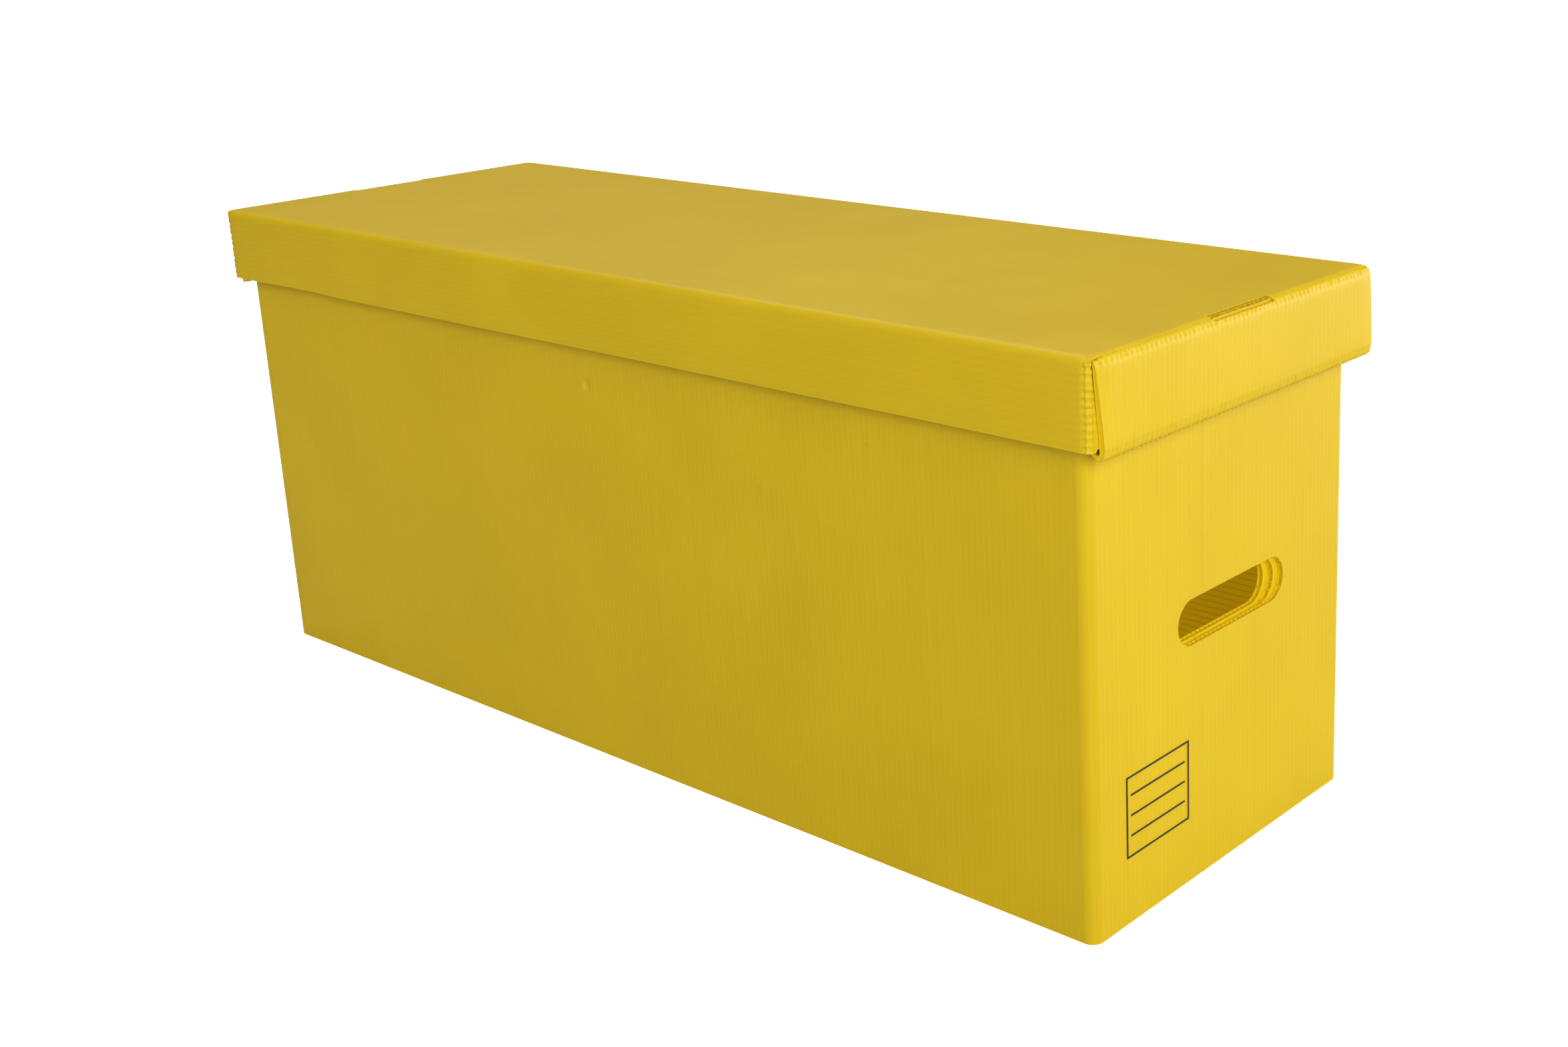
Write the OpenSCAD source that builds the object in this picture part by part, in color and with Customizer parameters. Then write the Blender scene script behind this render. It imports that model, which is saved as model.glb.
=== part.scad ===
// Long storage box made of fluted plastic board, with a separate lift-off lid.
// Origin: centre of the underside. +X runs along the length, +Y to the back, +Z up.
// Box: a sleeve of four outer walls with upright flutes, around a folded tray.
// Tray: base, long walls and corner flaps with level flutes, end panels with upright flutes.
// Lid: a second tray. Each end skirt rolls under two tuck flaps and locks in a slot.

/* [Box] */
// Outside length
body_l = 736; // [480:1:900]
// Outside width
body_w = 242; // [190:1:400]
// Height of the walls above the surface the box stands on
body_h = 310.5; // [220:0.5:450]
// Set-back of a free upright edge from the wall beside it
edge_trim = 1; // [0.5:0.5:4]
// Lift of a corner flap's lower edge above the surface the box stands on
flap_lift = 0.5; // [0.3:0.1:2]
// Where the two corner flaps of an end meet, from the middle of the end
seam_y = -22; // [-40:1:40]
// Gap between the two corner flaps where they meet
seam_gap = 1; // [0.5:0.5:6]

/* [Board] */
// Thickness of the fluted board
board_t = 3.5; // [2.5:0.1:5]

/* [Handholes] */
// Length of each handhole, end to end
hand_l = 102; // [80:1:120]
// Height of each handhole
hand_h = 26; // [20:1:34]
// Height of the handhole's middle above the underside
hand_z = 150; // [110:1:170]
// Sideways shift of the hole from one end layer to the next
hand_step = 5; // [0:0.5:8]

/* [Lid] */
// Depth of the long skirts, from the lid's upper face
skirt_h = 47; // [35:1:90]
// Clearance between a long skirt and the wall beside it
side_gap = 5; // [1:0.5:8]
// Clearance between a lid end and the box end beside it
end_gap = 1.5; // [1:0.5:8]
// Gap between the lid's underside and the wall tops it rests over
seat_gap = 0.3; // [0.2:0.1:1]
// Length of each tuck flap, measured along the end from the lid's corner
tuck_l = 70; // [40:1:80]
// Set-back of an end skirt's upright edge from the lid's corner
end_trim = 7; // [4:0.5:15]
// Gap between a tuck flap and the rolled fold beneath it
roll_gap = 0.3; // [0.2:0.1:2]

/* [Lock] */
// Length of the slot in the lid's end fold
slot_l = 56; // [30:1:80]
// Clearance around the locking tab in its slot
slot_gap = 0.8; // [0.4:0.1:2]
// Depth of the tab's tip below the lid's upper face
tab_sink = 0.8; // [0.3:0.1:2]
// Length of tab that lies against the end skirt, below the lid's underside
tab_reach = 14; // [6:1:25]

/* [Print] */
// Width of the printed writing panel
print_w = 56; // [40:1:60]
// Height of the printed writing panel
print_h = 46; // [30:1:60]
// Distance from the front face of the box to the panel
print_inset = 28; // [12:1:40]
// Height of the panel's lower edge above the underside
print_z = 38; // [25:1:60]
// Width of a printed line
print_line = 1; // [0.6:0.1:2]
// Number of ruled lines inside the panel
print_rules = 3; // [1:1:5]

/* [Hidden] */
$fn = 48;

wall_color = "#ccab20";
end_color = "#e0c440";
lid_color = "#d2b52c";
ink_color = "#1b1b1b";

t = board_t;
cut = 1;                                  // how far a cutting shape runs past a face
ink_t = 0.2;                              // thickness given to the printed film

// Box layers, counted from outside to inside
fold_r = 2 * t;                           // outside radius of the sleeve's upright folds
outer_x = body_l / 2 - t;                 // inner face of the sleeve's end
middle_x = outer_x - t;                   // inner face of a corner flap
inner_x = middle_x - t;                   // inner face of the tray's end panel
half_w = body_w / 2;
middle_y = half_w - 2 * t;                // inner face of the tray's long walls

// Lid, sized around the box
lid_l = body_l + 2 * (end_gap + 3 * t);
lid_w = body_w + 2 * (side_gap + t);
lid_z0 = body_h + seat_gap;               // underside of the lid's top
lid_z1 = lid_z0 + t;                      // upper face of the lid
skirt_z = lid_z1 - skirt_h;               // lower edge of the long skirts
roll_r = 1.5 * t;                         // outside radius of the rolled fold
roll_z = skirt_z - roll_gap;              // height of the rolled fold's centre
lid_outer_x = lid_l / 2 - t;              // inner face of an end skirt
lid_middle_x = lid_outer_x - t;           // inner face of a tuck flap
lid_inner_x = lid_middle_x - t;           // inner face of an inner panel
lid_half_w = lid_w / 2;

// A box given by its low and high corners
module block(low, high) {
    translate(low) cube(high - low);
}

// A crease along +X that turns the board from underneath to the side at -Y.
// The board's inner skin is pinched to the line that the crease starts from.
module crease(length) {
    rotate([90, 0, 90])
        intersection() {
            cylinder(r = t, h = length);
            translate([-t, -t, 0]) cube([t, t, length]);
        }
}

// The same shape on the right or on the left end
module at_end(side) {
    mirror([side < 0 ? 1 : 0, 0, 0]) children();
}

// The same shape at the front or at the back
module at_side(side) {
    mirror([0, side > 0 ? 1 : 0, 0]) children();
}

// Handhole through one end layer, shifted along Y
module handhole(shift) {
    r = hand_h / 2;
    straight = hand_l / 2 - r;
    translate([inner_x - cut, shift, hand_z])
        rotate([0, 90, 0]) {
            translate([0, -straight, 0]) cylinder(r = r, h = 3 * t + 2 * cut);
            translate([0, straight, 0]) cylinder(r = r, h = 3 * t + 2 * cut);
            translate([-r, -straight, 0]) cube([hand_h, 2 * straight, 3 * t + 2 * cut]);
        }
}

// Smooth upright fold of the sleeve at the front of the right end: a quarter ring
module upright_fold() {
    translate([middle_x, -middle_y, 0])
        intersection() {
            difference() {
                cylinder(r = fold_r, h = body_h);
                translate([0, 0, -cut]) cylinder(r = fold_r - t, h = body_h + 2 * cut);
            }
            translate([0, -fold_r, 0]) cube([fold_r, fold_r, body_h]);
        }
}

// Pinched upright crease at the front of the right end
module upright_crease(x, y, z0, z1) {
    translate([x, y, z0])
        intersection() {
            cylinder(r = t, h = z1 - z0);
            translate([0, -t, 0]) cube([t, t, z1 - z0]);
        }
}

module sleeve_wall(side) {
    at_side(side) block([-middle_x, -half_w, 0], [middle_x, t - half_w, body_h]);
}

module sleeve_front_wall() { color(wall_color) sleeve_wall(-1); }
module sleeve_back_wall() { color(wall_color) sleeve_wall(1); }

// Outermost layer of an end, with the smooth folds that join it to the long walls
module sleeve_end(side) {
    at_end(side)
        difference() {
            union() {
                block([outer_x, -middle_y, 0], [body_l / 2, middle_y, body_h]);
                for (fold = [-1, 1])
                    at_side(fold) upright_fold();
            }
            handhole(hand_step);
        }
}

module sleeve_right_end() { color(end_color) sleeve_end(1); }
module sleeve_left_end() { color(end_color) sleeve_end(-1); }

module tray_base() {
    color(wall_color) block([-inner_x, -middle_y, 0], [inner_x, middle_y, t]);
}

// Long tray wall with the crease that joins it to the base
module tray_wall(side) {
    at_side(side) {
        block([-middle_x, t - half_w, t], [middle_x, -middle_y, body_h]);
        translate([-middle_x, -middle_y, t]) crease(2 * middle_x);
    }
}

module tray_front_wall() { color(wall_color) tray_wall(-1); }
module tray_back_wall() { color(wall_color) tray_wall(1); }

// Innermost layer of an end: folds up from the base
module tray_end(side) {
    reach = middle_y - edge_trim;
    at_end(side)
        difference() {
            union() {
                block([inner_x, -reach, t], [middle_x, reach, body_h]);
                translate([inner_x, -reach, t])
                    rotate([0, 0, 90]) crease(2 * reach);
            }
            handhole(-hand_step);
        }
}

module tray_right_end() { color(end_color) tray_end(1); }
module tray_left_end() { color(end_color) tray_end(-1); }

// Middle layer of an end: a flap turns the corner from each long tray wall.
// The two meet along a seam that is the same distance from the front at both ends.
module corner_flap(end, side) {
    reach = middle_y - side * seam_y - seam_gap / 2;
    at_end(end)
        difference() {
            at_side(side) {
                block([middle_x, -middle_y, flap_lift], [outer_x, reach - middle_y, body_h]);
                upright_crease(middle_x, -middle_y, flap_lift, body_h);
            }
            handhole(0);
        }
}

module tray_front_right_flap() { color(end_color) corner_flap(1, -1); }
module tray_back_right_flap() { color(end_color) corner_flap(1, 1); }
module tray_front_left_flap() { color(end_color) corner_flap(-1, -1); }
module tray_back_left_flap() { color(end_color) corner_flap(-1, 1); }

// Plain frame with ruled writing lines, printed on the right end
module printed_panel() {
    x0 = body_l / 2;
    y0 = print_inset - half_w;
    inner_w = print_w - 2 * print_line;
    rule_step = print_h / (print_rules + 1);
    margin = 4 * print_line;              // from the frame's outer edge to a ruled line
    color(ink_color) {
        difference() {
            block([x0, y0, print_z], [x0 + ink_t, y0 + print_w, print_z + print_h]);
            translate([x0 - cut, y0 + print_line, print_z + print_line])
                cube([ink_t + 2 * cut, inner_w, print_h - 2 * print_line]);
        }
        for (i = [1 : print_rules])
            translate([x0, y0 + margin, print_z + i * rule_step])
                cube([ink_t, print_w - 2 * margin, print_line]);
    }
}

// Top of the lid, slotted at both ends for the locking tabs
module lid_top() {
    color(lid_color)
        difference() {
            block([-lid_outer_x, t - lid_half_w, lid_z0], [lid_outer_x, lid_half_w - t, lid_z1]);
            for (side = [-1, 1])
                at_end(side)
                    translate([lid_middle_x - slot_gap, -slot_l / 2, lid_z0 - cut])
                        cube([t + slot_gap + cut, slot_l, t + 2 * cut]);
        }
}

// A long skirt with the crease that joins it to the lid's top
module long_skirt(side) {
    at_side(side) {
        block([-lid_middle_x, -lid_half_w, skirt_z], [lid_middle_x, t - lid_half_w, lid_z0]);
        translate([-lid_middle_x, t - lid_half_w, lid_z0])
            mirror([0, 0, 1]) crease(2 * lid_middle_x);
    }
}

module lid_front_skirt() { color(lid_color) long_skirt(-1); }
module lid_back_skirt() { color(lid_color) long_skirt(1); }

// Outer end skirt: crease at the top, half-round rolled fold at the bottom
module end_skirt(side) {
    reach = lid_half_w - end_trim;
    at_end(side) {
        block([lid_outer_x, -reach, roll_z], [lid_l / 2, reach, lid_z0]);
        translate([lid_outer_x, -reach, lid_z0])
            rotate([0, 0, 90])
                mirror([0, 0, 1]) crease(2 * reach);
        translate([lid_l / 2 - roll_r, reach, roll_z])
            rotate([90, 0, 0])
                intersection() {
                    difference() {
                        cylinder(r = roll_r, h = 2 * reach);
                        translate([0, 0, -cut]) cylinder(r = roll_r - t, h = 2 * (reach + cut));
                    }
                    translate([-roll_r, -roll_r, 0]) cube([2 * roll_r, roll_r, 2 * reach]);
                }
    }
}

// Inner end panel: comes up from the rolled fold, with its tab in the slot
module inner_panel(side) {
    reach = lid_half_w - end_trim;
    tab = slot_l / 2 - slot_gap;
    at_end(side) {
        block([lid_inner_x, -reach, roll_z], [lid_middle_x, reach, lid_z0]);
        block([lid_middle_x, -tab, lid_z0 - tab_reach], [lid_outer_x, tab, lid_z1 - tab_sink]);
    }
}

module lid_right_end_skirt() { color(lid_color) end_skirt(1); }
module lid_right_inner_panel() { color(lid_color) inner_panel(1); }
module lid_left_end_skirt() { color(lid_color) end_skirt(-1); }
module lid_left_inner_panel() { color(lid_color) inner_panel(-1); }

// Tuck flap: turns the corner from a long skirt and lies between the end's two layers
module tuck(end, side) {
    at_end(end)
        at_side(side) {
            block([lid_middle_x, t - lid_half_w, skirt_z],
                  [lid_outer_x, tuck_l - lid_half_w, lid_z0]);
            upright_crease(lid_middle_x, t - lid_half_w, skirt_z, lid_z0);
        }
}

module lid_front_right_tuck() { color(lid_color) tuck(1, -1); }
module lid_back_right_tuck() { color(lid_color) tuck(1, 1); }
module lid_front_left_tuck() { color(lid_color) tuck(-1, -1); }
module lid_back_left_tuck() { color(lid_color) tuck(-1, 1); }

sleeve_front_wall();
sleeve_back_wall();
sleeve_right_end();
sleeve_left_end();
tray_base();
tray_front_wall();
tray_back_wall();
tray_right_end();
tray_left_end();
tray_front_right_flap();
tray_back_right_flap();
tray_front_left_flap();
tray_back_left_flap();
printed_panel();
lid_top();
lid_front_skirt();
lid_back_skirt();
lid_right_end_skirt();
lid_right_inner_panel();
lid_left_end_skirt();
lid_left_inner_panel();
lid_front_right_tuck();
lid_back_right_tuck();
lid_front_left_tuck();
lid_back_left_tuck();
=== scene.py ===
import math
import bpy
import numpy as np
from mathutils import Matrix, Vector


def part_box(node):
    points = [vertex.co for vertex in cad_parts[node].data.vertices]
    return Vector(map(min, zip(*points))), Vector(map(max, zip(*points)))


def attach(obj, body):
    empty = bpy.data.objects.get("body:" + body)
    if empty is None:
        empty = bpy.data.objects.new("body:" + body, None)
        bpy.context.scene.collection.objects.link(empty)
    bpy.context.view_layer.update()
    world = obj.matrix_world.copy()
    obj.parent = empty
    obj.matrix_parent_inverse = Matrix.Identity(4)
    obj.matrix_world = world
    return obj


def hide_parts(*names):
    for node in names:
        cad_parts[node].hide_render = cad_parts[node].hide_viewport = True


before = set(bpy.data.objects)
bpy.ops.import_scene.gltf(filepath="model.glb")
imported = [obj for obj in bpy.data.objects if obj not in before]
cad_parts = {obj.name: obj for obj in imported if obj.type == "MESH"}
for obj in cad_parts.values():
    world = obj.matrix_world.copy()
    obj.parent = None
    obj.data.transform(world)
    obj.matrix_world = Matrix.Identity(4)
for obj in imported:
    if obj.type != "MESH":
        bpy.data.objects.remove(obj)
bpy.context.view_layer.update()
bpy.context.tool_settings.mesh_select_mode = (False, False, True)

# Lengths in the settings are millimetres. Blender's are metres.
mm = 0.001

# Twin-skin polypropylene board: two thin skins with a rib between them at every flute
board = {
    "thick": 3.5,
    "skin": 0.42,
    "rib": 0.42,
    "pitch": 4.0,
    "sink": 0.02,        # how far a skin sinks between two ribs as the extrusion cools
    "pinch": 0.15,       # inside radius left where a crease is pressed flat
    "foldWidth": 4.4,    # board taken up by a pressed crease
    "smooth": 34,        # edges turned by more degrees than this stay sharp
}
creaseDepth = board["thick"] + board["pinch"]      # of the line that a pressed crease turns about


def clearSelection():
    if bpy.context.mode != "OBJECT":
        bpy.ops.object.mode_set(mode="OBJECT")
    bpy.ops.object.select_all(action="DESELECT")


def makeActive(piece):
    clearSelection()
    piece.select_set(True)
    bpy.context.view_layer.objects.active = piece


def placesOf(piece):
    places = np.zeros(len(piece.data.vertices) * 3)
    piece.data.vertices.foreach_get("co", places)
    return places.reshape(-1, 3)


def setPlaces(piece, places):
    piece.data.vertices.foreach_set("co", np.ascontiguousarray(places).ravel())
    piece.data.update()


def fluteColumns(low, high, phase, pitch):
    # places across the board where its section has a point, ribs first, then the skins between
    rib = board["rib"]
    marks = {round(low, 4), round(high, 4)}
    first = math.floor((low - phase) / pitch) - 1
    last = math.ceil((high - phase) / pitch) + 1
    slack, clear, least = 0.01, 0.3, 0.02
    for k in range(first, last + 1):
        start = phase + k * pitch
        if start > low - slack and start + rib < high + slack:
            marks.update((round(start, 4), round(start + rib, 4)))
        for part in (0.25, 0.5, 0.75):
            middle = start + rib + part * (pitch - rib)
            if low + clear < middle < high - clear:
                marks.add(round(middle, 4))
    ordered = [min(marks)]
    for mark in sorted(marks):
        if mark - ordered[-1] > least:
            ordered.append(mark)
    return np.array(ordered)


def makeBoard(name, low, high, rows, phase=None, pitch=None):
    # a flat board: X across the flutes, Y from the outer face inwards, Z along the flutes
    if pitch is None:
        count = round((high - low) / board["pitch"])
        pitch = (high - low - board["rib"]) / count
        phase = low
    columns = fluteColumns(low, high, phase, pitch)
    thick, skin, rib = board["thick"], board["skin"], board["rib"]
    depths = np.array([0, skin, thick - skin, thick])
    clearSelection()
    bpy.ops.mesh.primitive_grid_add(x_subdivisions=len(columns) - 1, y_subdivisions=3, size=2)
    piece = bpy.context.active_object
    piece.name = name
    places = placesOf(piece)
    column = np.rint((places[:, 0] + 1) / 2 * (len(columns) - 1)).astype(int)
    layer = np.rint((places[:, 1] + 1) / 2 * 3).astype(int)
    across = columns[column]
    between = np.clip(((across - phase) % pitch - rib) / (pitch - rib), 0, 1)
    sink = board["sink"] * np.sin(math.pi * between)
    depth = depths[layer] + np.where(layer < 2, sink, -sink)
    setPlaces(piece, np.stack([across, depth, np.full(len(across), float(rows[0]))], 1))
    for face in piece.data.polygons:
        middle = (face.center.x - phase) % pitch
        hollow = skin * 1.2 < face.center.y < thick - skin * 1.2
        face.select = bool(hollow and middle > rib)
    bpy.ops.object.mode_set(mode="EDIT")
    bpy.ops.mesh.select_mode(type="FACE")
    bpy.ops.mesh.delete(type="FACE")
    bpy.ops.mesh.select_all(action="SELECT")
    for step in np.diff(rows):
        bpy.ops.mesh.extrude_region_move(TRANSFORM_OT_translate={"value": (0, 0, float(step))})
    bpy.ops.object.mode_set(mode="OBJECT")
    flat = placesOf(piece)
    addFluteMap(piece, flat, phase, pitch)
    markHollows(piece, low, high)
    return piece, flat, {"phase": phase, "pitch": pitch}


def markHollows(piece, low, high):
    # the walls of the open flutes take the board's inside finish, which has a painted glow
    faces = piece.data.polygons
    middles, normals = np.zeros(len(faces) * 3), np.zeros(len(faces) * 3)
    faces.foreach_get("center", middles)
    faces.foreach_get("normal", normals)
    middles, normals = middles.reshape(-1, 3), normals.reshape(-1, 3)
    edge, side = board["skin"] * 0.9, board["rib"] * 0.9
    inside = (middles[:, 1] > edge) & (middles[:, 1] < board["thick"] - edge) & (abs(normals[:, 2]) < 0.5)
    inside &= (middles[:, 0] > low + side) & (middles[:, 0] < high - side)
    faces.foreach_set("material_index", inside.astype(np.int32))


def addFluteMap(piece, flat, phase, pitch):
    # the board's own map: one unit is one flute, across and along, and it follows every fold
    mesh = piece.data
    while mesh.uv_layers:
        mesh.uv_layers.remove(mesh.uv_layers[0])
    layer = mesh.uv_layers.new(name="flutes")
    corners = np.zeros(len(mesh.loops), int)
    mesh.loops.foreach_get("vertex_index", corners)
    spots = np.stack([(flat[corners, 0] - phase) / pitch, flat[corners, 2] / pitch], 1)
    layer.uv.foreach_set("vector", spots.astype(np.float32).ravel())


def spread(start, end, count):
    return list(np.linspace(start, end, count + 1))


def joinRows(*parts):
    rows = []
    for part in parts:
        rows += [x for x in part if not rows or x > rows[-1] + 1e-6]
    return rows


def foldBoard(places, flat, axis, start, width, depth, angle, side=1):
    # turns all that lies past start towards the inner face, about a line at that depth
    turn = np.clip(side * (flat[:, axis] - start) / width, 0, 1)
    phi = math.radians(angle) * turn
    ahead = side * (places[:, axis] - start) - turn * width
    inward = places[:, 1] - depth
    folded = places.copy()
    folded[:, axis] = start + side * (ahead * np.cos(phi) - inward * np.sin(phi))
    folded[:, 1] = depth + ahead * np.sin(phi) + inward * np.cos(phi)
    return folded


def pressCrease(places, flat, flutes, axis, start, width, side, crease):
    # presses the outer skin in along a crease: score lines at its edges and its middle,
    # and a pucker in each flute between the ribs
    thick = board["thick"]
    past = side * (flat[:, axis] - start) / width
    turn = np.clip(past, 0, 1)
    outside = np.maximum(-past, past - 1) * width
    fade = np.clip(1 - np.maximum(outside, 0) / crease["reach"], 0, 1) ** 2
    score = 0.5 + 0.5 * np.cos(2 * math.pi * crease["scores"] * turn)
    along = (flat[:, 0] - flutes["phase"]) / flutes["pitch"]
    draw = np.random.default_rng(crease["seed"]).uniform(-1, 1, 400)
    own = draw[np.floor(along).astype(int) % 400]
    pucker = (0.5 - 0.5 * np.cos(2 * math.pi * along)) * (1 + 0.45 * own)
    press = fade * (crease["flatten"] + crease["score"] * score + crease["pucker"] * pucker)
    pressed = places.copy()
    pressed[:, 1] += press * (1 - places[:, 1] / thick)
    return pressed


def putBoard(piece, places, across, inward, along, origin=(0, 0, 0)):
    # from the board's own axes to the part's, in metres
    axes = {"X": (1, 0, 0), "Y": (0, 1, 0), "Z": (0, 0, 1),
            "-X": (-1, 0, 0), "-Y": (0, -1, 0), "-Z": (0, 0, -1)}
    turned = (
        places[:, :1] * np.array(axes[across])
        + places[:, 1:2] * np.array(axes[inward])
        + places[:, 2:] * np.array(axes[along])
        + np.array(origin)
    )
    setPlaces(piece, turned * mm)


def outwardFaces(piece):
    makeActive(piece)
    bpy.ops.object.mode_set(mode="EDIT")
    bpy.ops.mesh.select_all(action="SELECT")
    bpy.ops.mesh.normals_make_consistent(inside=False)
    bpy.ops.object.mode_set(mode="OBJECT")


def cutAway(piece, cutter):
    makeActive(piece)
    cut = piece.modifiers.new("cut", "BOOLEAN")
    cut.operation = "DIFFERENCE"
    cut.solver = "EXACT"
    cut.object = cutter
    bpy.ops.object.modifier_apply(modifier="cut")


def dropObject(thing):
    bpy.data.objects.remove(thing, do_unlink=True)


def mirrorPlaces(piece, axis):
    places = placesOf(piece)
    places[:, axis] *= -1
    setPlaces(piece, places)
    outwardFaces(piece)


def mirrorBoard(piece, name, axis):
    # the same board on the opposite side, with a mesh of its own
    copy = piece.copy()
    copy.data = piece.data.copy()
    copy.name = name
    bpy.context.scene.collection.objects.link(copy)
    mirrorPlaces(copy, axis)
    smoothBoard(copy)
    return copy


def smoothBoard(piece):
    makeActive(piece)
    bpy.ops.object.shade_smooth_by_angle(angle=math.radians(board["smooth"]))


def finishBoard(piece, node, cutters=()):
    outwardFaces(piece)
    for cutter in cutters:
        cutAway(piece, cutter)
        dropObject(cutter)
    smoothBoard(piece)
    fitOut(piece, node)


def span(node):
    low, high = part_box(node)
    return np.array(low) / mm, np.array(high) / mm


def colour(code):
    # sRGB hex to linear
    parts = [int(code[i:i + 2], 16) / 255 for i in (1, 3, 5)]
    linear = [c / 12.92 if c <= 0.04045 else ((c + 0.055) / 1.055) ** 2.4 for c in parts]
    return (*linear, 1)


def addNode(tree, kind, settings=None, links=None):
    # settings name a property or an input, links name an input and give the socket that feeds it
    node = tree.nodes.new(kind)
    for key, value in (settings or {}).items():
        if isinstance(key, int) or key in node.inputs:
            node.inputs[key].default_value = value
        else:
            setattr(node, key, value)
    for key, socket in (links or {}).items():
        tree.links.new(socket, node.inputs[key])
    return node


def startMaterial(name):
    material = bpy.data.materials.new(name)
    material.use_nodes = True
    tree = material.node_tree
    tree.nodes.clear()
    return material, tree


polypropylene = {
    "base": "#C9A90C",
    "deep": "#B99A05",
    "ribLine": "#D9BC33",
    "scuff": "#8F7500",
    "glow": "#AC940A",       # painted glow: an emission colour standing in for light that comes through the thin translucent skins
    "roughness": 0.47,
    "ribPaintedGlow": "#8A7806",    # darker painted glow over a rib, where less light would come through
    "ior": 1.49,
    "specular": 0.2,
    "through": 0.0,          # strength of the painted glow, on the outside, in the tray and in a flute
    "throughTray": 0.42,
    "throughFlute": 0.6,
}


def extrudedPolypropylene(name, settings):
    # Twin-skin polypropylene, extruded: a satin, slightly waxy skin that shows a thin paler line
    # over each rib, fine die streaks along the flutes and a cloudy change of colour.
    material, tree = startMaterial(name)
    place = addNode(tree, "ShaderNodeUVMap", {"uv_map": "flutes"})
    axes = addNode(tree, "ShaderNodeSeparateXYZ", links={0: place.outputs["UV"]})
    shift = addNode(tree, "ShaderNodeMath", {"operation": "SUBTRACT", 1: 0.05}, {0: axes.outputs["X"]})
    wave = addNode(tree, "ShaderNodeMath", {"operation": "PINGPONG", 1: 0.5}, {0: shift.outputs[0]})
    # a rib is 0.4 mm wide, drawn about twice as wide so that it shows
    rib = addNode(tree, "ShaderNodeMapRange",
                  {"interpolation_type": "SMOOTHSTEP", "From Min": 0.0, "From Max": 0.22,
                   "To Min": 1, "To Max": 0},
                  {"Value": wave.outputs[0]})
    # die streaks: 0.7 mm apart across, about 300 mm long
    streakPlace = addNode(tree, "ShaderNodeMapping", {"Scale": (5.5, 0.013, 1)},
                          {"Vector": place.outputs["UV"]})
    streak = addNode(tree, "ShaderNodeTexNoise", {"Scale": 1.0, "Detail": 2.0, "Roughness": 0.6},
                     {"Vector": streakPlace.outputs[0]})
    # board-wide differences from one flute to the next
    flutePlace = addNode(tree, "ShaderNodeMapping", {"Scale": (0.9, 0.006, 1)},
                         {"Vector": place.outputs["UV"]})
    flute = addNode(tree, "ShaderNodeTexNoise", {"Scale": 1.0, "Detail": 1.0},
                    {"Vector": flutePlace.outputs[0]})
    # cloudiness: patches about 90 mm across
    spot = addNode(tree, "ShaderNodeTexCoord")
    cloud = addNode(tree, "ShaderNodeTexNoise", {"Scale": 11.0, "Detail": 3.0, "Roughness": 0.5},
                    {"Vector": spot.outputs["Object"]})
    # handling scuffs: specks 2 to 4 mm across, far apart
    speck = addNode(tree, "ShaderNodeTexNoise", {"Scale": 62.0, "Detail": 2.5, "Roughness": 0.55},
                    {"Vector": spot.outputs["Object"]})
    speckMask = addNode(tree, "ShaderNodeMapRange",
                        {"interpolation_type": "SMOOTHSTEP", "From Min": 0.72, "From Max": 0.82,
                         "To Max": 0.22},
                        {"Value": speck.outputs["Fac"]})
    cloudy = addNode(tree, "ShaderNodeMapRange",
                     {"From Min": 0.3, "From Max": 0.7, "To Min": 0.0, "To Max": 0.4},
                     {"Value": cloud.outputs["Fac"]})
    shade = addNode(tree, "ShaderNodeMix",
                    {"data_type": "RGBA", 6: colour(settings["base"]), 7: colour(settings["deep"])},
                    {0: cloudy.outputs[0]})
    lineShare = addNode(tree, "ShaderNodeMath", {"operation": "MULTIPLY", 1: 0.15}, {0: rib.outputs[0]})
    lined = addNode(tree, "ShaderNodeMix", {"data_type": "RGBA", 7: colour(settings["ribLine"])},
                    {0: lineShare.outputs[0], 6: shade.outputs[2]})
    both = addNode(tree, "ShaderNodeMath", {"operation": "ADD"},
                   {0: streak.outputs["Fac"], 1: flute.outputs["Fac"]})
    tone = addNode(tree, "ShaderNodeMapRange",
                   {"From Min": 0.6, "From Max": 1.4, "To Min": 0.985, "To Max": 1.015},
                   {"Value": both.outputs[0]})
    toned = addNode(tree, "ShaderNodeHueSaturation",
                    links={"Color": lined.outputs[2], "Value": tone.outputs[0]})
    final = addNode(tree, "ShaderNodeMix", {"data_type": "RGBA", 7: colour(settings["scuff"])},
                    {0: speckMask.outputs[0], 6: toned.outputs["Color"]})
    rough = addNode(tree, "ShaderNodeMapRange",
                    {"From Min": 0.3, "From Max": 0.7, "To Min": settings["roughness"] - 0.05,
                     "To Max": settings["roughness"] + 0.07}, {"Value": streak.outputs["Fac"]})
    height = addNode(tree, "ShaderNodeMath", {"operation": "MULTIPLY_ADD", 1: 0.25},
                     {0: streak.outputs["Fac"], 2: rib.outputs[0]})
    bump = addNode(tree, "ShaderNodeBump", {"Strength": 0.2, "Distance": 0.00005},
                   {"Height": height.outputs[0]})
    # painted glow: an emission in the board's colour, weaker over a rib, stands in for light coming through
    # the translucent skins; its strength is zero on the outside
    paintedGlowColour = addNode(tree, "ShaderNodeMix",
                    {"data_type": "RGBA", 6: colour(settings["glow"]), 7: colour(settings["ribPaintedGlow"])},
                    {0: rib.outputs[0]})
    shader = addNode(tree, "ShaderNodeBsdfPrincipled",
                     {"IOR": settings["ior"], "Specular IOR Level": settings["specular"],
                      "Emission Strength": settings["through"]},
                     {"Base Color": final.outputs[2], "Emission Color": paintedGlowColour.outputs[2],
                      "Roughness": rough.outputs[0], "Normal": bump.outputs[0]})
    addNode(tree, "ShaderNodeOutputMaterial", links={"Surface": shader.outputs[0]})
    return material


screenInk = {
    "black": "#161512",
    "pinhole": "#4A4418",
    "roughness": 0.55,
    "ior": 1.5,
}


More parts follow.
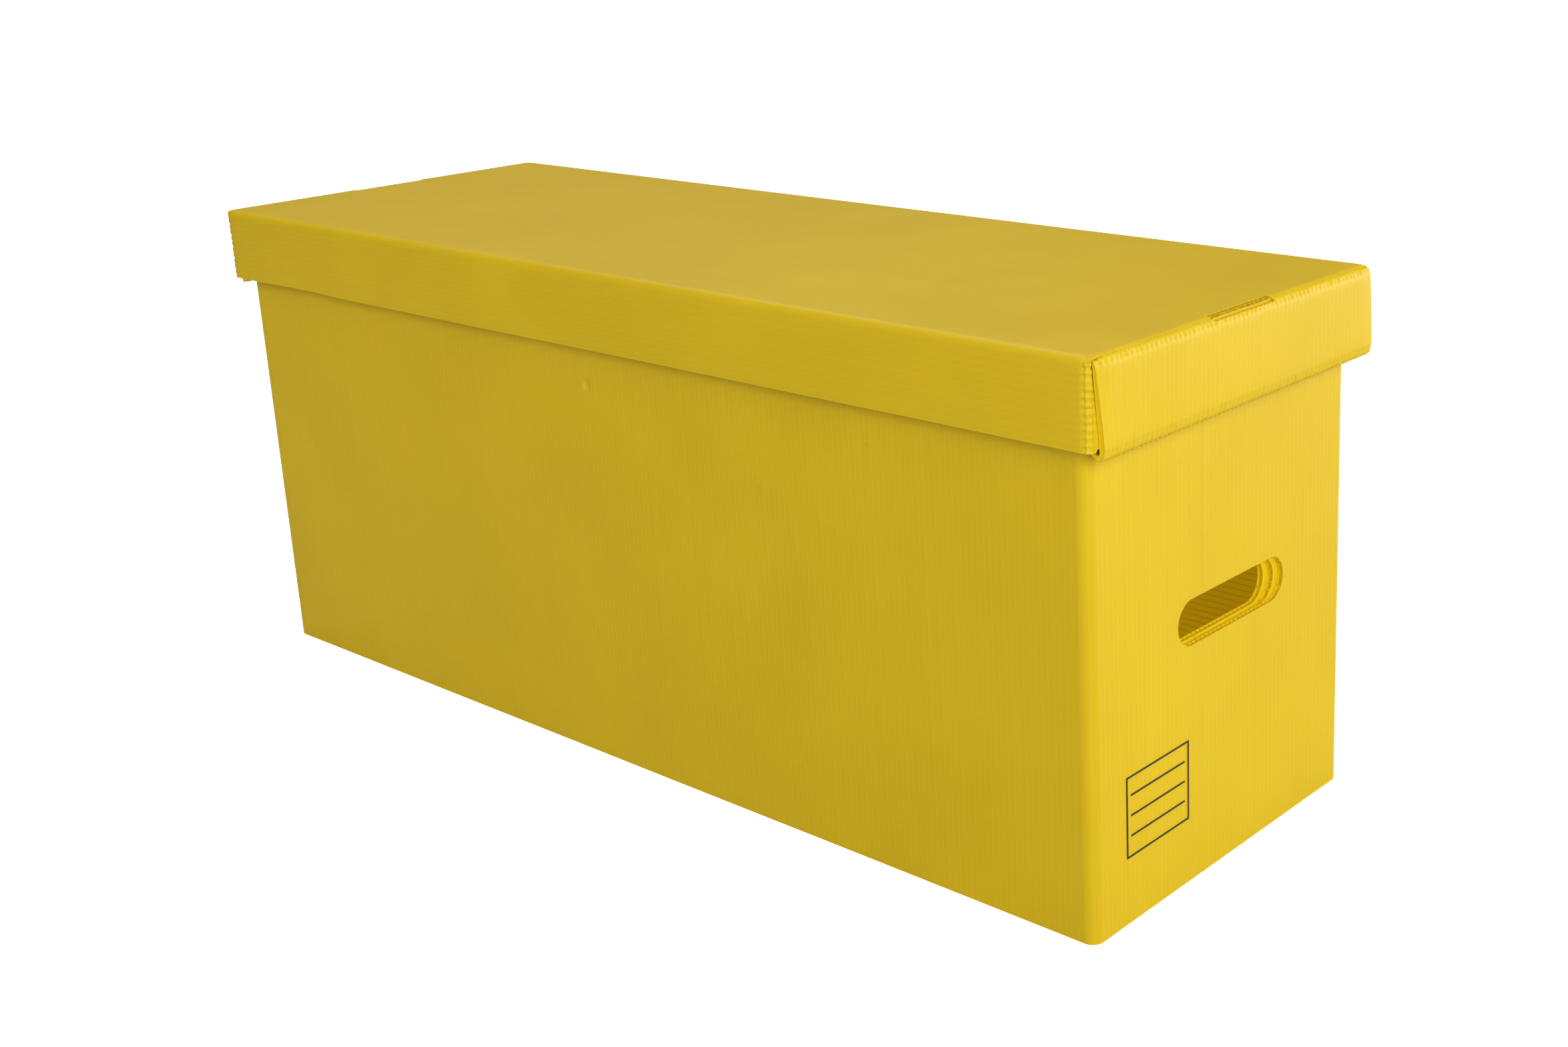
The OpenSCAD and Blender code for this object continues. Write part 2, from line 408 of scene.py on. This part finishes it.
def screenPrintedInk(name, settings):
    # Black screen ink on polypropylene: a thin, even, slightly soft film with tiny pinholes, 0.4 mm apart
    material, tree = startMaterial(name)
    spot = addNode(tree, "ShaderNodeTexCoord")
    grain = addNode(tree, "ShaderNodeTexNoise", {"Scale": 2500.0, "Detail": 1.0},
                    {"Vector": spot.outputs["Object"]})
    pale = addNode(tree, "ShaderNodeMapRange", {"From Min": 0.62, "From Max": 0.75, "To Max": 0.3},
                   {"Value": grain.outputs["Fac"]})
    tint = addNode(tree, "ShaderNodeMix",
                   {"data_type": "RGBA", 6: colour(settings["black"]), 7: colour(settings["pinhole"])},
                   {0: pale.outputs[0]})
    shader = addNode(tree, "ShaderNodeBsdfPrincipled",
                     {"Roughness": settings["roughness"], "IOR": settings["ior"]},
                     {"Base Color": tint.outputs[2]})
    addNode(tree, "ShaderNodeOutputMaterial", links={"Surface": shader.outputs[0]})
    return material


boxBoard = extrudedPolypropylene("extruded_polypropylene_box", polypropylene)
lidBoard = extrudedPolypropylene("extruded_polypropylene_lid", polypropylene)
# copies of the finish that add a painted glow, an emission standing in for light through the skins: one for
# the tray, one for the walls of the open flutes
trayPaintedGlowBoard = extrudedPolypropylene("extruded_polypropylene_inside",
                                    {**polypropylene, "through": polypropylene["throughTray"]})
flutePaintedGlowBoard = extrudedPolypropylene("extruded_polypropylene_flute_painted_glow",
                                    {**polypropylene, "through": polypropylene["throughFlute"]})
ink = screenPrintedInk("screen_printed_ink", screenInk)
print("materials made")


def fitOut(piece, node):
    # one board stands for one CAD node, on the body and with the finish that the node has
    onLid = node.startswith("lid_")
    # the tray's finish and the flutes' finish carry a painted glow, an emission standing in for light
    # through the skins
    outside = lidBoard if onLid else trayPaintedGlowBoard if node.startswith("tray_") else boxBoard
    if not piece.data.materials:
        piece.data.materials.append(outside)
        piece.data.materials.append(flutePaintedGlowBoard)
    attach(piece, "lid" if onLid else "box")
    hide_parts(node)


view = {
    "place": (0.9163, -0.8294, 0.5389),
    "azimuth": 38.814,
    "elevation": 15.843,
    "roll": -1.321,
    "lens": 45.25,
    "sensor": 36,
    "shift": (-0.170, -0.070),
    "clipStart": 0.02,
}


def makeCamera():
    azimuth, elevation, roll = (math.radians(view[k]) for k in ("azimuth", "elevation", "roll"))
    level = math.cos(elevation)
    back = np.array([math.sin(azimuth) * level, -math.cos(azimuth) * level, math.sin(elevation)])
    right = np.array([math.cos(azimuth), math.sin(azimuth), 0])
    up = np.cross(back, right)
    x = math.cos(roll) * right + math.sin(roll) * up
    y = -math.sin(roll) * right + math.cos(roll) * up
    camera = bpy.data.objects.new("camera", bpy.data.cameras.new("camera"))
    bpy.context.scene.collection.objects.link(camera)
    camera.data.sensor_width = view["sensor"]
    camera.data.lens = view["lens"]
    camera.data.shift_x, camera.data.shift_y = view["shift"]
    camera.data.clip_start = view["clipStart"]
    turn = Matrix((x, y, back)).transposed().to_4x4()
    camera.matrix_world = Matrix.Translation(view["place"]) @ turn
    bpy.context.scene.camera = camera


studio = {
    "world": 0.15,
    "floor": "#F6F6F4",
    "floorGlow": 1.0,
    "floorBounce": "#BEBEBC",
    "floorSize": 30,
    "floorDrop": 0.0002,     # keeps the floor clear of the box's base
    "aim": (0, 0, 0.15),
    "lights": {
        # place, size, power
        "keyLight": ((2.24, -0.73, 1.10), 1.7, 51),
        "fillLight": ((-0.2, -2.7, 1.5), 2.4, 44),
        "sideLight": ((1.7, 2.3, 0.40), 1.7, 62),
        "topLight": ((0.0, 0.2, 2.6), 2.4, 22),
        "backLight": ((-1.7, 1.3, 2.7), 1.8, 24),
    },
}


def addAreaLight(name, place, size, power):
    lamp = bpy.data.lights.new(name, "AREA")
    lamp.shape = "SQUARE"
    lamp.size = size
    lamp.energy = power
    holder = bpy.data.objects.new(name, lamp)
    bpy.context.scene.collection.objects.link(holder)
    away = np.array(place) - np.array(studio["aim"])
    back = away / np.linalg.norm(away)
    right = np.cross([0, 0, 1], back) if abs(back[2]) < 0.99 else np.array([1.0, 0, 0])
    right = right / np.linalg.norm(right)
    up = np.cross(back, right)
    holder.matrix_world = Matrix.Translation(place) @ Matrix((right, up, back)).transposed().to_4x4()


def makeStudio():
    world = bpy.data.worlds.new("studio")
    bpy.context.scene.world = world
    world.use_nodes = True
    world.node_tree.nodes["Background"].inputs["Color"].default_value = (1, 1, 1, 1)
    world.node_tree.nodes["Background"].inputs["Strength"].default_value = studio["world"]
    for name, (place, size, power) in studio["lights"].items():
        addAreaLight(name, place, size, power)
    clearSelection()
    bpy.ops.mesh.primitive_plane_add(size=studio["floorSize"], location=(0, 0, -studio["floorDrop"]))
    floor = bpy.context.active_object
    floor.name = "floor"
    material, tree = startMaterial("pale_floor")
    # seen as white, it throws back less than it shows, as a lit sweep that ends near the object does
    ray = addNode(tree, "ShaderNodeLightPath")
    shown = addNode(tree, "ShaderNodeMix",
                    {"data_type": "RGBA", 6: colour(studio["floorBounce"]), 7: colour(studio["floor"])},
                    {0: ray.outputs["Is Camera Ray"]})
    glow = addNode(tree, "ShaderNodeMath", {"operation": "MULTIPLY", 1: studio["floorGlow"]},
                   {0: ray.outputs["Is Camera Ray"]})
    shader = addNode(tree, "ShaderNodeBsdfPrincipled",
                     {"Roughness": 0.8, "Specular IOR Level": 0.1, "Emission Color": (1, 1, 1, 1)},
                     {"Base Color": shown.outputs[2], "Emission Strength": glow.outputs[0]})
    addNode(tree, "ShaderNodeOutputMaterial", links={"Surface": shader.outputs[0]})
    floor.data.materials.append(material)
    bpy.context.scene.view_settings.view_transform = "Standard"


makeCamera()
makeStudio()
print("camera and light placed")


# the handhole, cut through each layer of an end
handhole = {
    "length": 102,
    "height": 26,
    "middle": 150,
    "step": 5,          # sideways, from one layer to the next
    "cutter": {"place": 363, "depth": 20, "sides": 72},
}


def handholeCutter(shift):
    radius = handhole["height"] / 2
    cut = handhole["cutter"]
    clearSelection()
    bpy.ops.mesh.primitive_cylinder_add(vertices=cut["sides"], radius=radius * mm, depth=cut["depth"] * mm,
                                        location=(cut["place"] * mm, 0, handhole["middle"] * mm),
                                        rotation=(0, math.pi / 2, 0))
    cutter = bpy.context.active_object
    bpy.ops.object.transform_apply(location=True, rotation=True, scale=True)
    places = placesOf(cutter)
    # the two halves of the round are drawn apart to the handhole's length
    reach = (handhole["length"] / 2 - radius) * mm
    half = np.where(abs(places[:, 1]) > 1e-6, np.sign(places[:, 1]), 0)
    places[:, 1] += half * reach + shift * mm
    setPlaces(cutter, places)
    return cutter


# the sleeve: upright flutes, smooth folds
sleeve = {
    "foldWidth": 8.25,       # board taken up by a fold, at mid thickness
    "insideRadius": 3.5,
    # heights of the front board's rows, close together at the dent
    "frontRows": [0, 60, 120, 180, 228, 234, 236, 237.5, 239, 240.5, 242, 243.5, 245, 247, 252, 285, 310.5],
    "backRows": 5,
    "endRows": 6,
    "waver": 0.3,
    "waverSeed": {"front": 5, "back": 6},
    "dent": {"x": -6.5, "z": 242, "radius": 3.8, "depth": 1.4},
    # the edges of the flaps behind show as a low ridge that ends before the folds
    "seamMark": {"y": -22, "width": 1.6, "height": 0.16, "fade": 20},
}


def waver(first, second, amount, seed):
    # slow unevenness of a hand-folded panel, always towards the inside
    draw = np.random.default_rng(seed).uniform(0, 2 * math.pi, 3)
    wave = (
        np.sin(first / 97 + draw[0]) * np.cos(second / 83 + draw[1])
        + 0.5 * np.sin(first / 41 + second / 57 + draw[2])
    )
    return amount * (wave + 1.5) / 3


def waverWall(places, flat, low, high, seed):
    # none at the upright folds, most in the middle
    share = np.clip((flat[:, 0] - low[0]) / (high[0] - low[0]), 0, 1)
    places[:, 1] += waver(flat[:, 0], flat[:, 2], sleeve["waver"], seed) * np.sin(math.pi * share) ** 0.5


def sleeveWalls():
    low, high = span("sleeve_front_wall")
    front, flat, _ = makeBoard("sleeve_front_board", low[0], high[0], sleeve["frontRows"])
    places = flat.copy()
    waverWall(places, flat, low, high, sleeve["waverSeed"]["front"])
    dent = sleeve["dent"]
    away = np.hypot(flat[:, 0] - dent["x"], flat[:, 2] - dent["z"]) / dent["radius"]
    places[:, 1] += dent["depth"] * np.clip(1 - away ** 2, 0, 1) * (1 - flat[:, 1] / board["thick"])
    putBoard(front, places, "X", "Y", "Z", (0, low[1], 0))
    finishBoard(front, "sleeve_front_wall")
    low, high = span("sleeve_back_wall")
    back, flat, _ = makeBoard("sleeve_back_board", low[0], high[0],
                              spread(low[2], high[2], sleeve["backRows"]))
    places = flat.copy()
    waverWall(places, flat, low, high, sleeve["waverSeed"]["back"])
    putBoard(back, places, "X", "-Y", "Z", (0, high[1], 0))
    finishBoard(back, "sleeve_back_wall")


def sleeveEnds():
    low, high = span("sleeve_right_end")
    radius = sleeve["insideRadius"] + board["thick"]
    straight = high[1] - radius
    width = sleeve["foldWidth"]
    piece, flat, _ = makeBoard("sleeve_right_board", -straight - width, straight + width,
                               spread(low[2], high[2], sleeve["endRows"]))
    places = flat.copy()
    mark = sleeve["seamMark"]
    outside = 1 - flat[:, 1] / board["thick"]
    ridge = np.exp(-((flat[:, 0] - mark["y"]) / mark["width"]) ** 2)
    clear = np.clip((straight - abs(flat[:, 0])) / mark["fade"], 0, 1)
    places[:, 1] += mark["height"] * (1 - ridge) * outside * clear
    for side in (1, -1):
        places = foldBoard(places, flat, 0, side * straight, width, radius, 90, side)
    putBoard(piece, places, "Y", "-X", "Z", (high[0], 0, 0))
    finishBoard(piece, "sleeve_right_end", [handholeCutter(handhole["step"])])
    fitOut(mirrorBoard(piece, "sleeve_left_board", 0), "sleeve_left_end")


sleeveWalls()
sleeveEnds()
print("sleeve made")


# the tray: level flutes on the base, walls and corner flaps, upright on the ends
tray = {
    "baseRows": 4,
    "wallRows": 6,
    "endFold": 7,            # rows in the fold
    "flapFold": 8,
    "wallCrease": {"reach": 2, "flatten": 0.1, "score": 0.15, "scores": 2, "pucker": 0.0, "seed": 11},
    "endCrease": {"reach": 3, "flatten": 0.25, "score": 0.25, "scores": 1, "pucker": 0.5, "seed": 12},
    "flapCrease": {"reach": 3, "flatten": 0.3, "score": 0.3, "scores": 2, "pucker": 0.5, "seed": 13},
}


def creaseRows(edge, steps, end):
    # close rows round a crease, then a few to the far edge
    start = edge - board["foldWidth"]
    return joinRows(spread(start, edge, steps), spread(edge + 1, edge + 4, 2), spread(edge + 8, end, 4))


def trayBase():
    low, high = span("tray_base")
    piece, flat, _ = makeBoard("tray_base_board", low[1], high[1], spread(low[0], high[0], tray["baseRows"]))
    putBoard(piece, flat, "Y", "Z", "X", (0, 0, low[2]))
    finishBoard(piece, "tray_base")


def trayWalls():
    low, high = span("tray_front_wall")
    width = board["foldWidth"]
    edge = low[2] + creaseDepth
    piece, flat, flutes = makeBoard("tray_front_board", edge - width, high[2],
                                    spread(low[0], high[0], tray["wallRows"]))
    places = pressCrease(flat, flat, flutes, 0, edge, width, -1, tray["wallCrease"])
    places = foldBoard(places, flat, 0, edge, width, creaseDepth, 90, -1)
    putBoard(piece, places, "Z", "Y", "X", (0, low[1], 0))
    finishBoard(piece, "tray_front_wall")
    fitOut(mirrorBoard(piece, "tray_back_board", 1), "tray_back_wall")


def trayEnds():
    low, high = span("tray_right_end")
    width = board["foldWidth"]
    edge = low[2] + creaseDepth
    piece, flat, flutes = makeBoard("tray_right_board", low[1], high[1],
                                    creaseRows(edge, tray["endFold"], high[2]))
    places = pressCrease(flat, flat, flutes, 2, edge, width, -1, tray["endCrease"])
    places = foldBoard(places, flat, 2, edge, width, creaseDepth, 90, -1)
    putBoard(piece, places, "Y", "-X", "Z", (high[0], 0, 0))
    finishBoard(piece, "tray_right_end", [handholeCutter(-handhole["step"])])
    fitOut(mirrorBoard(piece, "tray_left_board", 0), "tray_left_end")


def trayFlap(where, side):
    # side is -1 for the flap that turns from the front wall, 1 from the back wall
    low, high = span(f"tray_{where}_right_flap")
    width = board["foldWidth"]
    outer = low[1] if side < 0 else -high[1]
    inner = high[1] if side < 0 else -low[1]
    edge = outer + creaseDepth
    piece, flat, flutes = makeBoard(f"tray_{where}_right_flap_board", low[2], high[2],
                                    creaseRows(edge, tray["flapFold"], inner))
    places = pressCrease(flat, flat, flutes, 2, edge, width, -1, tray["flapCrease"])
    places = foldBoard(places, flat, 2, edge, width, creaseDepth, 90, -1)
    putBoard(piece, places, "Z", "-X", "Y" if side < 0 else "-Y", (high[0], 0, 0))
    finishBoard(piece, f"tray_{where}_right_flap", [handholeCutter(0)])
    fitOut(mirrorBoard(piece, f"tray_{where}_left_flap_board", 0), f"tray_{where}_left_flap")


trayBase()
trayWalls()
trayEnds()
trayFlap("front", -1)
trayFlap("back", 1)
print("tray made")


# the lid: one sheet with its flutes along the length
lid = {
    "longCrease": {"reach": 2.2, "flatten": 0.12, "score": 0.2, "scores": 2, "pucker": 0.0, "seed": 21},
    "cornerCrease": {"reach": 3.2, "flatten": 0.12, "score": 0.28, "scores": 2, "pucker": 0.52, "seed": 22},
    "endCrease": {"reach": 2.6, "flatten": 0.25, "score": 0.2, "scores": 1, "pucker": 0.6, "seed": 23},
    "rollCrease": {"reach": 2.0, "flatten": 0.15, "score": 0.15, "scores": 2, "pucker": 0.5, "seed": 24},
    # distances from a crease of the first rows past it
    "topRows": [0, 0.7, 1.5, 2.6, 6],
    "topMiddle": {"from": 40, "count": 12},
    "cornerRows": [0, 0.7, 1.4, 2.3, 3.4],
    "skirtMiddle": {"from": 32, "count": 22},
    "foldRows": {"end": 8, "roll": 12, "tuck": 14},
    "sag": {"depth": 0.5, "seed": 31, "fadeX": 60, "fadeY": 40},      # of the top, none at its edges
    "bow": {"depth": 1.1, "fade": 90, "waver": 0.65, "seed": {"front": 32, "back": 33}},
    "nick": {"x": -290, "reach": 40, "height": 0.8, "over": 6},       # in the front skirt's lower edge
    "slot": {"length": 56, "inner": 372.2, "width": 12, "lipDrop": 2.3, "past": 3},
    "roll": {"inside": 1.75, "taken": 0.72, "blunt": 0.5},
    "slant": {"front": 126.9, "back": 128.6, "by": 4.6, "over": 34},  # side edges of an end skirt
    "pinched": {"reach": 14, "depth": 1.7},
    "tab": {"sideGap": 0.8, "depth": 16.7, "rough": 0.35, "roughDepth": 1.5, "seed": 41},
    "tuck": {"step": 1.6, "from": 1.4, "over": 8},       # a tuck's lower edge steps up past the corner
}


def lidFlutes():
    # ribs of the lid's sheet, across the box, shared by its top, end skirts and inner panels
    low, high = span("lid_top")
    count = round((high[1] - low[1]) / board["pitch"])
    return {"phase": low[1], "pitch": (high[1] - low[1] - board["rib"]) / count}


def skirtPitch(low, edge):
    # ribs of the long skirts and their tucks, from the lower edge to the crease
    return (edge - low) / round((edge - low) / board["pitch"])


def mirroredRows(low, high, near, middle):
    # close rows at both ends, even ones between
    near = np.array(near)
    between = spread(low + middle["from"], high - middle["from"], middle["count"])
    return joinRows(list(low + near), between, list((high - near)[::-1]))


def slotCutter(low, high, side):
    slot = lid["slot"]
    clearSelection()
    bpy.ops.mesh.primitive_cube_add(size=1)
    cutter = bpy.context.active_object
    places = placesOf(cutter)
    half = slot["length"] / 2
    ends = np.array([[slot["inner"], -half, low], [slot["inner"] + slot["width"], half, high]])
    setPlaces(cutter, np.where(places > 0, ends[1], ends[0]) * mm)
    if side < 0:
        mirrorPlaces(cutter, 0)
    return cutter


def lidTop():
    low, high = span("lid_top")
    flutes = lidFlutes()
    rows = mirroredRows(low[0], high[0], lid["topRows"], lid["topMiddle"])
    piece, flat, _ = makeBoard("lid_top_board", low[1], high[1], rows, flutes["phase"], flutes["pitch"])
    places = flat
    for side in (1, -1):
        edge = high[0] if side > 0 else low[0]
        places = pressCrease(places, flat, flutes, 2, edge, board["foldWidth"], side, lid["endCrease"])
        edge = high[1] if side > 0 else low[1]
        places = pressCrease(places, flat, flutes, 0, edge, board["foldWidth"], side, lid["longCrease"])
    sag = lid["sag"]
    fade = np.clip((high[0] - abs(flat[:, 2])) / sag["fadeX"], 0, 1)
    fade = fade * np.clip((high[1] - abs(flat[:, 0])) / sag["fadeY"], 0, 1)
    places[:, 1] += waver(flat[:, 2], flat[:, 0], sag["depth"], sag["seed"]) * fade
    putBoard(piece, places, "Y", "-Z", "X", (0, 0, high[2]))
    past = lid["slot"]["past"]
    finishBoard(piece, "lid_top", [slotCutter(low[2] - past, high[2] + past, side) for side in (1, -1)])


def longSkirt(where):
    low, high = span("lid_front_skirt")
    width = board["foldWidth"]
    edge = high[2] - creaseDepth
    rows = mirroredRows(low[0], high[0], lid["cornerRows"] + [8], lid["skirtMiddle"])
    piece, flat, flutes = makeBoard(f"lid_{where}_skirt_board", low[2], edge + width, rows, low[2],
                                    skirtPitch(low[2], edge))
    places = pressCrease(flat, flat, flutes, 0, edge, width, 1, lid["longCrease"])
    for side in (1, -1):
        places = pressCrease(places, flat, flutes, 2, side * high[0], width, side, lid["cornerCrease"])
    # the fold runs on over the top of the tuck flap, to the lid's corner
    atEnd = (abs(flat[:, 2]) > high[0] - 0.01) * np.clip((flat[:, 0] - edge) / width / 0.35, 0, 1)
    places[:, 2] += np.sign(flat[:, 2]) * (board["thick"] - 0.1) * atEnd
    # the lower edge bows in, unevenly
    bow = lid["bow"]
    drop = np.clip((edge - flat[:, 0]) / (edge - low[2]), 0, 1)
    reach = np.clip((high[0] - abs(flat[:, 2])) / bow["fade"], 0, 1)
    uneven = 1 - bow["waver"] + waver(flat[:, 2], flat[:, 0], bow["waver"], bow["seed"][where])
    places[:, 1] += bow["depth"] * drop ** 2 * reach * uneven
    if where == "front":
        nick = lid["nick"]
        away = np.abs(flat[:, 2] - nick["x"]) / nick["reach"]
        lower = np.clip(1 - (flat[:, 0] - low[2]) / nick["over"], 0, 1)
        places[:, 0] += nick["height"] * np.clip(1 - away ** 2, 0, 1) * lower
    places = foldBoard(places, flat, 0, edge, width, creaseDepth, 90, 1)
    putBoard(piece, places, "Z", "Y", "X", (0, low[1], 0))
    if where == "back":
        mirrorPlaces(piece, 1)
    finishBoard(piece, f"lid_{where}_skirt")


def endSkirt():
    low, high = span("lid_right_end_skirt")
    thick, width = board["thick"], board["foldWidth"]
    roll, slant, pinched = lid["roll"], lid["slant"], lid["pinched"]
    flutes = lidFlutes()
    topEdge = high[2] - creaseDepth
    rollRadius = roll["inside"] + thick
    rollEdge = low[2] + rollRadius
    rollWidth = math.pi * rollRadius * roll["taken"]
    rows = joinRows(spread(rollEdge - rollWidth, rollEdge, lid["foldRows"]["roll"]),
                    [rollEdge + 1, rollEdge + 2.2], spread(rollEdge + 6, topEdge - 6, 3),
                    [topEdge - 2.4, topEdge - 1.4, topEdge - 0.6],
                    spread(topEdge, topEdge + width, lid["foldRows"]["end"]))
    piece, flat, _ = makeBoard("lid_right_skirt_board", -slant["front"], slant["back"], rows,
                               flutes["phase"], flutes["pitch"])
    places = pressCrease(flat, flat, flutes, 2, topEdge, width, 1, lid["endCrease"])
    places = pressCrease(places, flat, flutes, 2, rollEdge, rollWidth, -1, lid["rollCrease"])
    # the front edge runs at a slant, and both edges are pinched near the top crease
    up = np.clip((flat[:, 2] - rollEdge) / (topEdge - rollEdge), 0, 1)
    fromFront = flat[:, 0] + slant["front"]
    fromSide = np.minimum(fromFront, slant["back"] - flat[:, 0]) / pinched["reach"]
    pinch = pinched["depth"] * np.clip(1 - fromSide, 0, 1) ** 2 * up ** 1.5
    places[:, 0] += slant["by"] * (1 - up) * np.clip(1 - fromFront / slant["over"], 0, 1)
    places[:, 1] += pinch * (1 - flat[:, 1] / thick)
    places = foldBoard(places, flat, 2, topEdge, width, creaseDepth, 90, 1)
    places = foldBoard(places, flat, 2, rollEdge, rollWidth, rollRadius, 180, -1)
    # the roll is pressed to a blunt point below the outer skirt
    under = np.clip((rollEdge - places[:, 2]) / rollRadius, 0, 1)
    places[:, 1] *= 1 - roll["blunt"] * under ** 1.5
    putBoard(piece, places, "Y", "-X", "Z", (high[0], 0, 0))
    slot = slotCutter(high[2] - lid["slot"]["lipDrop"], high[2] + lid["slot"]["past"], 1)
    finishBoard(piece, "lid_right_end_skirt", [slot])
    fitOut(mirrorBoard(piece, "lid_left_skirt_board", 0), "lid_left_end_skirt")


def innerPanel():
    low, high = span("lid_right_inner_panel")
    topLow, _ = span("lid_top")
    tab, flutes = lid["tab"], lidFlutes()
    piece, flat, _ = makeBoard("lid_right_inner_board", low[1], high[1], spread(low[2], topLow[2], 3),
                               flutes["phase"], flutes["pitch"])
    putBoard(piece, flat, "Y", "X", "Z", (low[0], 0, 0))
    half = lid["slot"]["length"] / 2 - tab["sideGap"]
    rows = joinRows(spread(high[2] - tab["depth"], high[2] - 3, 2), [high[2] - tab["roughDepth"], high[2]])
    tongue, flat, _ = makeBoard("lid_tab_board", -half, half, rows, flutes["phase"], flutes["pitch"])
    # its cut edge is ragged, from one rib and one skin to the next
    along = (flat[:, 0] - flutes["phase"]) / flutes["pitch"]
    draw = np.random.default_rng(tab["seed"]).uniform(0, 1, 800)
    byRib = np.floor(along * 2).astype(int) % 800
    bySkin = np.rint(flat[:, 1] * 3 + along * 5).astype(int) % 800
    ragged = draw[byRib] + 0.5 * draw[bySkin]
    atTop = np.clip((flat[:, 2] - high[2] + tab["roughDepth"]) / tab["roughDepth"], 0, 1)
    places = flat.copy()
    places[:, 2] -= tab["rough"] * ragged * atTop
    putBoard(tongue, places, "Y", "X", "Z", (low[0] + board["thick"], 0, 0))
    clearSelection()
    tongue.select_set(True)
    piece.select_set(True)
    bpy.context.view_layer.objects.active = piece
    bpy.ops.object.join()
    finishBoard(piece, "lid_right_inner_panel")
    fitOut(mirrorBoard(piece, "lid_left_inner_board", 0), "lid_left_inner_panel")


def tuckFlaps():
    low, high = span("lid_front_right_tuck")
    skirtLow, skirtHigh = span("lid_front_skirt")
    width, tuck = board["foldWidth"], lid["tuck"]
    edge = low[1] + creaseDepth
    near = [edge + row for row in lid["cornerRows"][1:] + [6]]
    rows = joinRows(spread(edge - width, edge, lid["foldRows"]["tuck"]), near, spread(edge + 12, high[1], 3))
    piece, flat, flutes = makeBoard("lid_front_right_tuck_board", low[2], high[2] + 1, rows, low[2],
                                    skirtPitch(skirtLow[2], skirtHigh[2] - creaseDepth))
    places = pressCrease(flat, flat, flutes, 2, edge, width, -1, lid["cornerCrease"])
    past = np.clip(flat[:, 2] - edge - tuck["from"], 0, 1)
    places[:, 0] += tuck["step"] * past * np.clip(1 - (flat[:, 0] - low[2]) / tuck["over"], 0, 1)
    places = foldBoard(places, flat, 2, edge, width, creaseDepth, 90, -1)
    putBoard(piece, places, "Z", "-X", "Y", (high[0], 0, 0))
    finishBoard(piece, "lid_front_right_tuck")
    fitOut(mirrorBoard(piece, "lid_front_left_tuck_board", 0), "lid_front_left_tuck")
    back = mirrorBoard(piece, "lid_back_right_tuck_board", 1)
    fitOut(back, "lid_back_right_tuck")
    fitOut(mirrorBoard(back, "lid_back_left_tuck_board", 0), "lid_back_left_tuck")


lidTop()
longSkirt("front")
longSkirt("back")
endSkirt()
innerPanel()
tuckFlaps()
print("lid made")

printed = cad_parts["printed_panel"]
printed.data.materials.clear()
printed.data.materials.append(ink)
print("print inked")
